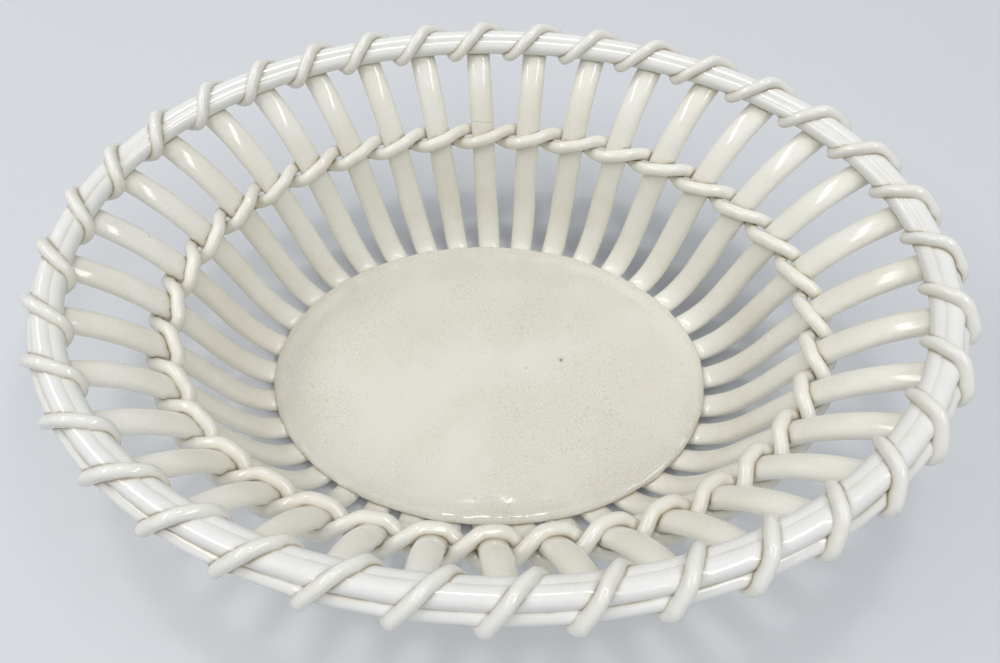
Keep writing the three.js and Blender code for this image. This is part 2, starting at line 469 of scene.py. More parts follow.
@dataclass
class RibWall:
    """The flattened ribs of the wall, from their tucked ends under the plate's lip to the rods."""

    rim: Rim
    plate: Oval
    pairs: int = 18
    width: float = 8.3 * MM
    thickness: float = 5.4 * MM
    end_thickness: float = 4.3 * MM
    seat_height: float = 2.9 * MM
    run_out: float = 1.0 * MM
    tucked: float = 4.6 * MM
    rise_slope: float = math.tan(math.radians(22))
    rise_share: float = 0.445
    flare_slope: float = math.tan(math.radians(27))
    flare_share: float = 0.282
    end_out: float = -0.5 * MM
    end_up: float = -4.6 * MM
    rim_lead: float = 0.572
    rim_drift: float = 0.174
    rim_drift_at: float = 0.051
    plate_lead: float = 0.74
    plate_drift: float = 0.12
    thicken_share: float = 0.2
    tuck_steps: int = 4
    steps: int = 52
    seed_step: float = 3.7
    section: Section = Section(28, 1.08)
    clay: Unevenness = Unevenness(0.17 * MM, 0.05, 17 * MM, 11.0)

    @property
    def count(self) -> int:
        """How many ribs there are."""
        return 2 * self.pairs

    def rim_turn(self, i: int) -> float:
        """Gives how far round the rim a rib meets it: their spacing drifts twice round the oval."""
        drift = self.rim_drift * math.sin(2 * TURN * ((i + 0.5) / self.count - self.rim_drift_at))
        return (i + self.rim_lead + drift) / self.count

    def plate_turn(self, i: int) -> float:
        """Gives how far round the plate a rib leaves it."""
        drift = self.plate_drift * math.sin(2 * TURN * (i + 0.5) / self.count)
        return (i + self.plate_lead + drift) / self.count

    def line(self, i: int) -> RibLine:
        """Lays out one rib.

        Args:
            i: The rib's number, from 0.

        Returns:
            Its plane and line.
        """
        foot, foot_out = self.plate.walk(self.plate_turn(i))
        head, head_out = self.rim.oval.walk(self.rim_turn(i))
        outward = (head - foot).normalized()
        reach = (head - foot).length + self.end_out / head_out.dot(outward)
        top = self.rim.height + self.end_up
        rise, flare = self.rise_share * reach, self.flare_share * reach
        knots = (
            Vector((self.run_out, self.seat_height)),
            Vector((rise, self.seat_height + rise * self.rise_slope)),
            Vector((flare, top - (reach - flare) * self.flare_slope)),
            Vector((reach, top)),
        )
        return RibLine(knots, foot, outward, (foot_out, head_out), reach)

    def frame(self, line: RibLine, point: Vector, lean: Vector) -> RibFrame:
        """Stands a section's directions on a rib's line.

        Args:
            line: The rib's line.
            point: The place in its plane, out and up.
            lean: The direction there, out and up.

        Returns:
            The frame, whose face turns with the plate's edge at the foot and with the rim at the head.
        """
        share = min(1.0, max(0.0, point.x / line.reach))
        facing = line.facings[0].lerp(line.facings[1], share).normalized()
        along = line.outward * lean.x + UP * lean.y
        clockwise = Vector((facing.y, -facing.x, 0))
        centre = line.foot + line.outward * point.x + UP * point.y
        inward = clockwise.cross(along).normalized()
        return RibFrame(centre, along, clockwise, inward, facing.dot(line.outward))

    def frame_at(self, i: int, share: float) -> RibFrame:
        """Stands a section's directions at a share of a rib's S-shaped stretch."""
        line = self.line(i)
        return self.frame(line, *line.flat(share))

    def station(self, frame: RibFrame, thickness: float, seed: float) -> Station:
        """Sizes a rib's section, a little uneven, as clay that was rolled and flattened by hand is.

        Args:
            frame: The section's middle and directions.
            thickness: Its thickness.
            seed: What tells this rib from the others.

        Returns:
            The section.
        """
        place = frame.centre + Vector((0, 0, seed * self.clay.wavelength))
        half = self.width / 2 / frame.skew * self.clay.swell(place)
        stray = self.clay.shift(place)
        centre = frame.centre + frame.clockwise * stray.x + frame.inward * (stray.y / 2)
        return Station(centre, frame.clockwise * half, frame.inward * (thickness / 2))

    def rib(self, i: int) -> bpy.types.Object:
        """Sweeps one rib.

        Args:
            i: The rib's number, from 0.

        Returns:
            The piece.
        """
        line = self.line(i)
        level = Vector((1, 0))
        seed = self.seed_step * i
        stations = []
        for k in range(self.tuck_steps):
            out = -self.tucked + (self.tucked + self.run_out) * k / self.tuck_steps
            point = Vector((out, self.seat_height))
            stations.append(self.station(self.frame(line, point, level), self.end_thickness, seed))
        for k in range(self.steps + 1):
            share = k / self.steps
            more = (self.thickness - self.end_thickness) * eased(share / self.thicken_share)
            thick = self.end_thickness + more
            stations.append(self.station(self.frame(line, *line.flat(share)), thick, seed))
        name = f"rib_{i + 1:02d}"
        piece = sweep(f"fired_{name}", self.section, rounded_ends(stations), closed=False)
        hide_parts(name)
        return piece


@dataclass
class PairedBand:
    """The two strands that pair round the ribs: one inside and one outside each, crossing in every gap."""

    wall: RibWall
    radius: float = 2.1 * MM
    place_share: float = 0.66
    press: float = 0.5 * MM
    climb: float = 2.2 * MM
    climb_sharpness: float = 1.5
    fullness: float = 1.15
    sides: int = 20
    steps: int = 4
    clay: Unevenness = Unevenness(0.18 * MM, 0.07, 9 * MM, 23.0)

    def half_gap(self, gap: float) -> list[tuple[float, float]]:
        """Leads a strand from a rib's face to the middle of the gap beside it.

        Args:
            gap: How far apart the middles of the two ribs are.

        Returns:
            Steps along the band and off the wall's middle.
        """
        past = self.wall.width / 2 + self.radius - self.press / 2
        over = self.wall.thickness / 2 + self.radius - self.press
        leave = math.acos(min(1.0, past / (gap / 2)))
        angles = (TURN / 4, (TURN / 4 + leave) / 2, leave)
        power = 1 / self.fullness
        return [(past * fuller(math.cos(angle), power), over * math.sin(angle) ** power) for angle in angles]

    def line(self, start: StrandStart) -> list[Vector]:
        """Leads one strand all the way round.

        Args:
            start: The side of the first rib that it passes.

        Returns:
            The strand's points.
        """
        frames = [self.wall.frame_at(i, self.place_share) for i in range(self.wall.count)]
        knots = []
        for i, here in enumerate(frames):
            following = frames[(i + 1) % len(frames)]
            gap = (following.centre - here.centre).length
            inside = start.value if i % 2 == 0 else -start.value
            half = self.half_gap(gap)
            steps = [(along / gap, inside * depth) for along, depth in half]
            steps.append((0.5, 0.0))
            steps += [(1 - along / gap, -inside * depth) for along, depth in half[:0:-1]]
            for at, depth in steps:
                inward = here.inward.lerp(following.inward, at).normalized()
                along = here.along.lerp(following.along, at).normalized()
                rise = inside * self.climb * math.sin(math.pi * at) ** self.climb_sharpness
                knots.append(here.centre.lerp(following.centre, at) + inward * depth + along * rise)
        return glided(knots, self.steps, Vector())

    def strand(self, start: StrandStart) -> bpy.types.Object:
        """Rolls one strand.

        Args:
            start: The side of the first rib that it passes.

        Returns:
            The piece.
        """
        node = "band_strand_a" if start is StrandStart.INSIDE else "band_strand_b"
        line = self.line(start)
        radii = [self.radius] * len(line)
        piece = round_tube(f"fired_{node}", line, [UP] * len(line), radii, self.sides, self.clay)
        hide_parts(node)
        return piece


@dataclass(frozen=True)
class Drift:
    """A value that drifts as the basket goes round: once in a lap and twice, each with a place of its own."""

    middle: float
    once: float
    once_at: float
    twice: float
    twice_at: float

    def at(self, share: float) -> float:
        """Gives the value at a share of the way round."""
        once = self.once * math.cos(TURN * (share - self.once_at))
        return self.middle + once + self.twice * math.cos(2 * TURN * (share - self.twice_at))


@dataclass
class Binding:
    """The cord that binds the rods: over them beside each rib, and back under them through the gap.

    Where it comes up inside the rim and starts down outside it is told in gaps between ribs, from the rib.
    The leads of its knots are in the same gaps, and the crossing's are shares of the way over.
    """

    wall: RibWall
    radius: float = 1.9 * MM
    press: float = 0.9 * MM
    left_press: float = 0.45 * MM
    left_at: float = 0.72
    inner_slimness: float = 0.84
    slim_from: float = 3.0 * MM
    slim_over: float = 4.0 * MM
    comes_up: Drift = Drift(-0.355, 0.045, 0.87, 0.08, 0.385)
    goes_down: Drift = Drift(0.25, 0.10, 0.88, 0.04, 0.38)
    rising: tuple[float, ...] = (-0.14, -0.05, 0.03)
    crossing: tuple[float, ...] = (0.17, 0.41, 0.56, 0.72)
    falling: tuple[float, ...] = (0.0, 0.045, 0.09, 0.12, 0.14)
    sides: int = 20
    steps: int = 4
    clay: Unevenness = Unevenness(0.15 * MM, 0.06, 11 * MM, 41.0)

    def reaches(self, share: float) -> list[float]:
        """Gives how far from each rod's middle the cord's own middle runs, closer where it was drawn tighter.

        Args:
            share: How far round the rim.

        Returns:
            The inner, top and lower rod's reach.
        """
        seats = [self.wall.rim.seats[place] for place in (RodPlace.INNER, RodPlace.TOP, RodPlace.LOWER)]
        tighter = self.left_press * max(0.0, math.cos(TURN * (share - self.left_at)))
        drawn = (self.radius * (1 - self.inner_slimness), tighter, tighter)
        return [seat.radius + self.radius - self.press - less for seat, less in zip(seats, drawn)]

    def turn(self, i: int) -> list[Vector]:
        """Lays one turn of the cord.

        Args:
            i: The number of the rib that the turn passes, from 0.

        Returns:
            The turn's knots, each as out, up and the share of the way round the rim.
        """
        here = self.wall.rim_turn(i)
        seats = [self.wall.rim.seats[place] for place in (RodPlace.INNER, RodPlace.TOP, RodPlace.LOWER)]
        middles = [Vector((seat.out, seat.up)) for seat in seats]
        reaches = self.reaches(here)
        leaves = []
        for k in range(3):
            step = middles[(k + 1) % 3] - middles[k]
            lean = math.acos((reaches[k] - reaches[(k + 1) % 3]) / step.length)
            leaves.append(math.atan2(step.y, step.x) + lean)
        inner, outer = self.comes_up.at(here), self.goes_down.at(here)
        crossed = [inner + way * (outer - inner) for way in self.crossing]
        inside = [inner + lead for lead in self.rising] + crossed[:1]
        outside = [outer + lead for lead in self.falling]
        knots = []
        for k, advances in enumerate((inside, crossed[1:], outside)):
            start = leaves[k - 1]
            turned = (start - leaves[k]) % TURN
            for step, advance in enumerate(advances):
                angle = start - turned * step / (len(advances) - 1)
                gap = here - self.wall.rim_turn(i - 1) if advance < 0 else self.wall.rim_turn(i + 1) - here
                spot = middles[k] + Vector((math.cos(angle), math.sin(angle))) * reaches[k]
                knots.append(Vector((spot.x, spot.y, here + advance * gap)))
        return knots

    def cord(self) -> bpy.types.Object:
        """Winds the whole cord.

        Returns:
            The piece.
        """
        rim = self.wall.rim
        knots = [knot for i in range(self.wall.count) for knot in self.turn(i)]
        walk = glided(knots, self.steps, Vector((0, 0, 1)))
        line = [rim.point(step.z, step.x, step.y) for step in walk]
        axes, radii = [], []
        for step in walk:
            outward = rim.oval.walk(step.z)[1]
            axes.append(Vector((outward.y, -outward.x, 0)))
            inside = eased((-step.x - self.slim_from) / self.slim_over)
            radii.append(self.radius * (1 - (1 - self.inner_slimness) * inside))
        piece = round_tube("fired_rim_binding", line, axes, radii, self.sides, self.clay)
        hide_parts("rim_binding")
        return piece


@dataclass
class BasePlate:
    """The oval plate, its rounded lip and the foot under it.

    The fall from the lip's bead and the rings of the flat are told as insets from the oval, in millimetres.
    """

    oval: Oval
    top: float = 6.9 * MM
    lip_thickness: float = 1.9 * MM
    lip_reach: float = 5.0 * MM
    foot_round: float = 0.6 * MM
    throat_round: float = 0.5 * MM
    edge_steps: int = 4
    bead: float = 0.2 * MM
    bead_width: float = 2.2 * MM
    bead_steps: int = 7
    bead_fall: tuple[tuple[float, float], ...] = (
        (2.7, 0.17),
        (3.2, 0.11),
        (3.8, 0.03),
        (4.5, -0.06),
        (5.4, -0.14),
    )
    flat_drop: float = 0.2 * MM
    flat_start: float = 6.2
    flat_step: float = 0.85
    flat_fine_rings: int = 18
    flat_wide_rings: tuple[float, ...] = (22, 23.5, 25.5, 28, 31, 34, 37, 40, 43, 46, 49, 52)
    edge_follow: float = 12 * MM
    lip_width: float = 6 * MM
    border_width: float = 16 * MM
    flat_lumps: float = 0.06
    border_lumps: float = 0.38
    lip_lumps: float = 0.4
    segments: int = 600
    clay: Unevenness = Unevenness(0.36 * MM, 0.0, 5.0 * MM, 57.0)

    def rings(self) -> list[tuple[float, float]]:
        """Lists the plate's outline, from the foot's underside round the lip to the middle of the top.

        Returns:
            Insets from the oval and heights.
        """
        half = self.lip_thickness / 2
        under = self.top - self.lip_thickness
        outline = [
            (self.lip_reach + self.foot_round, 0.0),
            (self.lip_reach + self.foot_round / 4, self.foot_round / 6),
            (self.lip_reach, self.foot_round * 5 / 6),
            (self.lip_reach, under - self.throat_round),
            (self.lip_reach - self.throat_round * 4 / 5, under),
        ]
        for k in range(self.edge_steps + 1):
            angle = TURN / 4 * (k / self.edge_steps - 1)
            outline.append((half * (1 - math.cos(angle)), under + half * (1 + math.sin(angle))))
        for k in range(1, self.bead_steps + 1):
            angle = TURN / 4 * k / self.bead_steps
            rise = (half + self.bead) * math.sin(angle)
            outline.append((self.bead_width * (1 - math.cos(angle)), under + half + rise))
        outline += [(inset * MM, self.top + rise * MM) for inset, rise in self.bead_fall]
        insets = [self.flat_start + self.flat_step * k for k in range(self.flat_fine_rings)]
        insets += self.flat_wide_rings
        outline += [(inset * MM, self.top - self.flat_drop) for inset in insets]
        return outline

    def ring_point(self, share: float, inset: float, height: float) -> Vector:
        """Finds a point of the plate's skin, with the small lumps that pressing the ribs on left in its lip.

        Args:
            share: How far round the plate.
            inset: How far in from its oval.
            height: How high.

        Returns:
            The point.
        """
        place, outward = self.oval.walk(share)
        towards = place.lerp(self.oval.centre, min(1.0, inset / (self.oval.width / 2)))
        point = (place - outward * inset).lerp(towards, eased(inset / self.edge_follow))
        if height <= 0:
            return point
        lumps = self.clay.shift(point)
        lip = 1 - eased(inset / self.lip_width)
        border = 1 - eased(inset / self.border_width)
        lumpiness = self.flat_lumps + self.border_lumps * border + self.lip_lumps * lip
        return point + outward * (lumps.x * lip) + UP * (height + lumps.z * lumpiness)

    def plate(self) -> bpy.types.Object:
        """Builds the plate.

        Returns:
            The piece.
        """
        bm = bmesh.new()
        verts = bmesh.ops.create_circle(bm, cap_ends=False, segments=self.segments, radius=1.0)["verts"]
        shares = {vert: index / self.segments for index, vert in enumerate(verts)}
        first = list(bm.edges)
        edges = first
        for number, (inset, height) in enumerate(self.rings()):
            if number:
                fresh, edges = grown(bm, edges)
                following = {}
                for vert in fresh:
                    beside = (edge.other_vert(vert) for edge in vert.link_edges)
                    following[vert] = next(shares[other] for other in beside if other in shares)
                shares = following
            for vert, share in shares.items():
                vert.co = self.ring_point(share, inset, height)
        bmesh.ops.edgeloop_fill(bm, edges=first)
        bmesh.ops.edgeloop_fill(bm, edges=edges)
        piece = finished("fired_base_plate", bm)
        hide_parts("base_plate")
        return piece


@dataclass(frozen=True)
class Neighbour:
    """What a piece touches, how wide a fillet the slip makes along their joint, and how strongly its seam is
    stained and darkened with painted shade.
    """

    tree: BVHTree
    blend: float
    # How strongly the seam is marked: real stain and dirt, and painted shade standing in for the shade down
    # in the joint.
    grime_and_shade: float


@dataclass
class Luting:
    """Works the pieces together as slip does: a fillet in each joint, and the dirt that settled there, with
    painted shade darkening each seam.
    """

    blend: float = 1.6 * MM
    rod_blend: float = 4.4 * MM
    lower_rod_blend: float = 2.0 * MM
    lift_share: float = 0.25
    stain_and_shade_reach: float = 2.2 * MM
    foot_height: float = 0.7 * MM
    strokes: int = 3
    # Between two rods the seam is marked less; that darkening in the groove is painted shade.
    rod_grime_and_shade: float = 0.72
    attribute: str = "crevice"

    @staticmethod
    def tree(pieces: Iterable[bpy.types.Object]) -> BVHTree:
        """Joins some pieces' faces into one tree to measure distances to.

        Args:
            pieces: The pieces.

        Returns:
            The tree.
        """
        points: list[Vector] = []
        faces: list[tuple[int, ...]] = []
        for piece in pieces:
            base = len(points)
            points += [vert.co.copy() for vert in piece.data.vertices]
            faces += [tuple(base + index for index in face.vertices) for face in piece.data.polygons]
        return BVHTree.FromPolygons(points, faces)

    def neighbour(self, tree: BVHTree, one: str, other: str) -> Neighbour:
        """Chooses the joint between two groups of pieces, wider where two rods were pressed into one.

        Args:
            tree: The other group's faces.
            one: A group's name.
            other: The other's.

        Returns:
            What the first group touches.
        """
        if not ("rod" in one and "rod" in other):
            return Neighbour(tree, self.blend, 1.0)
        if RodPlace.LOWER.value in one + other:
            return Neighbour(tree, self.lower_rod_blend, 1.0)
        return Neighbour(tree, self.rod_blend, self.rod_grime_and_shade)

    def work(self, piece: bpy.types.Object, neighbours: Sequence[Neighbour]) -> None:
        """Raises a piece's skin into fillets along its joints, and marks how deep in a joint each point lies.

        Args:
            piece: The piece.
            neighbours: What it touches.
        """
        mesh = piece.data
        marks = mesh.attributes.new(self.attribute, "FLOAT", "POINT")
        raised = []
        for vert in mesh.vertices:
            lift, depth = 0.0, 0.0
            for near in neighbours:
                farthest = max(near.blend, self.stain_and_shade_reach)
                place, normal, _, distance = near.tree.find_nearest(vert.co, farthest)
                if place is None:
                    continue
                outside = distance if (vert.co - place).dot(normal) > 0 else 0.0
                lift = max(lift, near.blend * self.lift_share * max(0.0, 1 - outside / near.blend) ** 2)
                # Each point near a joint is marked for the stain and dirt there, and for painted shade down
                # in the seam.
                depth = max(depth, near.grime_and_shade * eased(1 - outside / self.stain_and_shade_reach))
            if vert.co.z < self.foot_height:
                lift = 0.0
            raised.append(vert.co + vert.normal * lift)
            marks.data[vert.index].value = depth
        bm = bmesh.new()
        bm.from_mesh(mesh)
        bm.verts.ensure_lookup_table()
        for vert, place in zip(bm.verts, raised):
            vert.co = place
        marked = [vert for vert, mark in zip(bm.verts, marks.data) if mark.value > 0]
        worked = [vert for vert in marked if vert.co.z > self.foot_height]
        axes = {"use_axis_x": True, "use_axis_y": True, "use_axis_z": True}
        for _ in range(self.strokes):
            bmesh.ops.smooth_vert(bm, verts=worked, factor=0.5, **axes)
        bm.to_mesh(mesh)
        bm.free()
        mesh.update()


class Tree:
    """A small helper that places and links the nodes of one shader or group."""

    def __init__(self, nodes: bpy.types.NodeTree) -> None:
        """Starts on a node tree."""
        self.tree = nodes

    def add(self, kind: str, **values: object) -> bpy.types.Node:
        """Adds a node.

        Args:
            kind: The node's type.
            values: Its settings, by name.

        Returns:
            The node.
        """
        node = self.tree.nodes.new(kind)
        for name, value in values.items():
            setattr(node, name, value)
        return node

    def link(self, source: bpy.types.NodeSocket, target: bpy.types.NodeSocket) -> None:
        """Links two sockets."""
        self.tree.links.new(source, target)

    def feed(self, target: bpy.types.NodeSocket, value: object) -> None:
        """Links a socket to a target, or sets the target to a plain value.

        Args:
            target: The input.
            value: An output socket, a number or a colour.
        """
        if isinstance(value, bpy.types.NodeSocket):
            self.link(value, target)
        else:
            target.default_value = value

    def math(self, operation: str, a: object, b: object = 0.0, clamp: bool = False) -> bpy.types.NodeSocket:
        """Adds a sum of two numbers.

        Args:
            operation: Which sum.
            a: The first number or socket.
            b: The second.
            clamp: Whether the answer is held from 0 to 1.

        Returns:
            The answer's socket.
        """
        node = self.add("ShaderNodeMath", operation=operation, use_clamp=clamp)
        self.feed(node.inputs[0], a)
        self.feed(node.inputs[1], b)
        return node.outputs[0]

    def ramp(
        self, value: object, low: float, high: float, start: float = 0.0, end: float = 1.0
    ) -> bpy.types.NodeSocket:
        """Maps a number's range onto another one, smoothly, and holds it there.

        Args:
            value: The number's socket.
            low: Where its range starts.
            high: Where its range ends.
            start: What it becomes there.
            end: What it becomes at the end.

        Returns:
            The mapped number's socket.
        """
        node = self.add("ShaderNodeMapRange", interpolation_type="SMOOTHSTEP")
        self.feed(node.inputs["Value"], value)
        for name, number in (("From Min", low), ("From Max", high), ("To Min", start), ("To Max", end)):
            node.inputs[name].default_value = number
        return node.outputs["Result"]

    def mix(self, share: object, a: object, b: object) -> bpy.types.NodeSocket:
        """Mixes two colours.

        Args:
            share: How much of the second one.
            a: The first colour.
            b: The second.

        Returns:
            The mixed colour's socket.
        """
        node = self.add("ShaderNodeMix", data_type="RGBA")
        self.feed(node.inputs[0], share)
        self.feed(node.inputs[6], a)
        self.feed(node.inputs[7], b)
        return node.outputs[2]

    def noise(
        self, where: bpy.types.NodeSocket, scale: object, detail: float, roughness: float
    ) -> bpy.types.NodeSocket:
        """Adds soft noise through space.

        Args:
            where: The coordinates.
            scale: Its size, as repeats in a metre.
            detail: How much finer noise it holds.
            roughness: How strong that is.

        Returns:
            The noise's socket, about 0.5 in the middle.
        """
        node = self.add("ShaderNodeTexNoise")
        self.link(where, node.inputs["Vector"])
        self.feed(node.inputs["Scale"], scale)
        node.inputs["Detail"].default_value = detail
        node.inputs["Roughness"].default_value = roughness
        return node.outputs["Fac"]

    def group(self, made: bpy.types.NodeTree, **values: object) -> bpy.types.Node:
        """Places a node group.

        Args:
            made: The group.
            values: Its inputs, by name, with _ for a space.

        Returns:
            The group's node.
        """
        node = self.add("ShaderNodeGroup", node_tree=made)
        for name, value in values.items():
            self.feed(node.inputs[name.replace("_", " ")], value)
        return node


def new_group(
    name: str, inputs: dict[str, tuple[str, object]], outputs: dict[str, str]
) -> tuple[bpy.types.NodeTree, Tree]:
    """Starts a shader node group.

    Args:
        name: The group's name.
        inputs: Each input's socket type and value.
        outputs: Each output's socket type.

    Returns:
        The group, and a helper that fills it.
    """
    made = bpy.data.node_groups.new(name, "ShaderNodeTree")
    for label, (kind, value) in inputs.items():
        socket = made.interface.new_socket(label, in_out="INPUT", socket_type=kind)
        if value is not None:
            socket.default_value = value
    for label, kind in outputs.items():
        made.interface.new_socket(label, in_out="OUTPUT", socket_type=kind)
    return made, Tree(made)


class Effects:
    """The node groups that the glazes share: crazing, clouding, stained joints with painted shade in their
    seams, pinholes and waviness.
    """

    def __init__(self) -> None:
        """Builds each group once."""
        self.crazing = self.build_crazing()
        self.clouding = self.build_clouding()
        self.staining = self.build_staining()
        self.pinholes = self.build_pinholes()
        self.waviness = self.build_waviness()
        self.lone_pinhole = self.build_lone_pinhole()
        self.hairline = self.build_hairline()

    @staticmethod
    def build_crazing() -> bpy.types.NodeTree:
        """Builds the net of fine cracks in a glaze, clearer in some places than in others.

        Returns:
            The group, with the cracks' mask.
        """
        made, tree = new_group(
            "glaze_crazing",
            {
                "Where": ("NodeSocketVector", None),
                "Cell": ("NodeSocketFloat", 0.0014),
                "Width": ("NodeSocketFloat", 0.09),
                "Bend Repeats": ("NodeSocketFloat", 260.0),
                "Bend Reach": ("NodeSocketFloat", 0.0011),
            },
            {"Cracks": "NodeSocketFloat"},
        )
        given, out = tree.add("NodeGroupInput"), tree.add("NodeGroupOutput")
        where = given.outputs["Where"]
        bend = tree.add("ShaderNodeTexNoise")
        tree.link(where, bend.inputs["Vector"])
        tree.link(given.outputs["Bend Repeats"], bend.inputs["Scale"])
        push = tree.add("ShaderNodeVectorMath", operation="MULTIPLY_ADD")
        tree.link(bend.outputs["Color"], push.inputs[0])
        tree.link(given.outputs["Bend Reach"], push.inputs[1])
        tree.link(where, push.inputs[2])
        cells = tree.add("ShaderNodeTexVoronoi", feature="DISTANCE_TO_EDGE")
        tree.link(push.outputs[0], cells.inputs["Vector"])
        tree.link(tree.math("DIVIDE", 1.0, given.outputs["Cell"]), cells.inputs["Scale"])
        near = tree.math("DIVIDE", cells.outputs["Distance"], given.outputs["Width"])
        line = tree.math("SUBTRACT", 1.0, near, clamp=True)
        patchy = tree.noise(where, scale=38.0, detail=3.0, roughness=0.6)
        patches = tree.ramp(patchy, low=0.36, high=0.66, start=0.25)
        tree.link(tree.math("MULTIPLY", line, patches), out.inputs["Cracks"])
        return made

    @staticmethod
    def build_clouding() -> bpy.types.NodeTree:
        """Builds the warm clouds and fine mottle of an old cream glaze.

        Returns:
            The group, with the clouds' mask and the mottle's.
        """
        made, tree = new_group(
            "glaze_clouding",
            {"Where": ("NodeSocketVector", None), "Size": ("NodeSocketFloat", 0.034)},
            {"Clouds": "NodeSocketFloat", "Mottle": "NodeSocketFloat"},
        )
        given, out = tree.add("NodeGroupInput"), tree.add("NodeGroupOutput")
        where = given.outputs["Where"]
        repeats = tree.math("DIVIDE", 1.0, given.outputs["Size"])
        broad = tree.noise(where, scale=repeats, detail=4.0, roughness=0.62)
        fine = tree.noise(where, scale=900.0, detail=3.0, roughness=0.7)
        tree.link(tree.ramp(broad, low=0.36, high=0.68), out.inputs["Clouds"])
        tree.link(tree.ramp(fine, low=0.3, high=0.72), out.inputs["Mottle"])
        return made

    @staticmethod
    def build_staining() -> bpy.types.NodeTree:
        """Builds the tan stain and dirt in the joints, with painted shade darkening the seams, broken up so
        that no joint is stained all along.

        Returns:
            The group, with the wide stain's mask and the mask of the dirt and painted shade down in the seam.
        """
        made, tree = new_group(
            "joint_stain_and_shade",
            {
                "Where": ("NodeSocketVector", None),
                "Joint": ("NodeSocketFloat", 0.0),
                "Sharpness": ("NodeSocketFloat", 1.35),
            },
            {"Stain": "NodeSocketFloat", "Dirt": "NodeSocketFloat"},
        )
        given, out = tree.add("NodeGroupInput"), tree.add("NodeGroupOutput")
        broken = tree.noise(given.outputs["Where"], scale=75.0, detail=4.0, roughness=0.6)
        breaks = tree.ramp(broken, low=0.34, high=0.62, start=0.22)
        depth = tree.math("POWER", given.outputs["Joint"], given.outputs["Sharpness"])
        tree.link(tree.math("MULTIPLY", depth, breaks), out.inputs["Stain"])
        # The seam's mask: real dirt, and painted shade where the crease of the joint lies in shade.
        seam = tree.ramp(given.outputs["Joint"], low=0.66, high=1.0)
        tree.link(tree.math("MULTIPLY", seam, breaks), out.inputs["Dirt"])
        return made

    @staticmethod
    def build_pinholes() -> bpy.types.NodeTree:
        """Builds the few small dark specks and pinholes that the glaze ran away from.

        Returns:
            The group, with the specks' mask.
        """
        made, tree = new_group(
            "glaze_pinholes",
            {"Where": ("NodeSocketVector", None), "Spacing": ("NodeSocketFloat", 0.012)},
            {"Specks": "NodeSocketFloat"},
        )
        given, out = tree.add("NodeGroupInput"), tree.add("NodeGroupOutput")
        cells = tree.add("ShaderNodeTexVoronoi", feature="F1")
        tree.link(given.outputs["Where"], cells.inputs["Vector"])
        tree.link(tree.math("DIVIDE", 1.0, given.outputs["Spacing"]), cells.inputs["Scale"])
        dot = tree.ramp(cells.outputs["Distance"], low=0.012, high=0.034, start=1.0, end=0.0)
        parts = tree.add("ShaderNodeSeparateColor")
        tree.link(cells.outputs["Color"], parts.inputs[0])
        chosen = tree.ramp(parts.outputs[0], low=0.72, high=0.80)
        tree.link(tree.math("MULTIPLY", dot, chosen), out.inputs["Specks"])
        return made

    @staticmethod
    def build_waviness() -> bpy.types.NodeTree:
        """Builds the slow waves of a hand-worked surface under its glaze, as a height in metres.

        Returns:
            The group, with the height.
        """
        made, tree = new_group(
            "hand_worked_waviness",
            {"Where": ("NodeSocketVector", None), "Depth": ("NodeSocketFloat", 0.00006)},
            {"Height": "NodeSocketFloat"},
        )
        given, out = tree.add("NodeGroupInput"), tree.add("NodeGroupOutput")
        waves = tree.noise(given.outputs["Where"], scale=120.0, detail=1.5, roughness=0.5)
        tree.link(tree.math("MULTIPLY", waves, given.outputs["Depth"]), out.inputs["Height"])
        return made

    @staticmethod
    def build_lone_pinhole() -> bpy.types.NodeTree:
        """Builds one pinhole at a given place, with the small ring of glaze that gathered round it.

        Returns:
            The group, with the hole's mask and the ring's.
        """
        made, tree = new_group(
            "lone_pinhole",
            {
                "Where": ("NodeSocketVector", None),
                "Centre": ("NodeSocketVector", None),
                "Radius": ("NodeSocketFloat", 0.0006),
                "Ring Radius": ("NodeSocketFloat", 1.7),
            },
            {"Hole": "NodeSocketFloat", "Ring": "NodeSocketFloat"},
        )
        given, out = tree.add("NodeGroupInput"), tree.add("NodeGroupOutput")
        apart = tree.add("ShaderNodeVectorMath", operation="DISTANCE")
        tree.link(given.outputs["Where"], apart.inputs[0])
        tree.link(given.outputs["Centre"], apart.inputs[1])
        share = tree.math("DIVIDE", apart.outputs["Value"], given.outputs["Radius"])
        tree.link(tree.ramp(share, low=0.7, high=1.1, start=1.0, end=0.0), out.inputs["Hole"])
        from_ring = tree.math("ABSOLUTE", tree.math("SUBTRACT", share, given.outputs["Ring Radius"]))
        tree.link(tree.ramp(from_ring, low=0.0, high=0.9, start=1.0, end=0.0), out.inputs["Ring"])
        return made

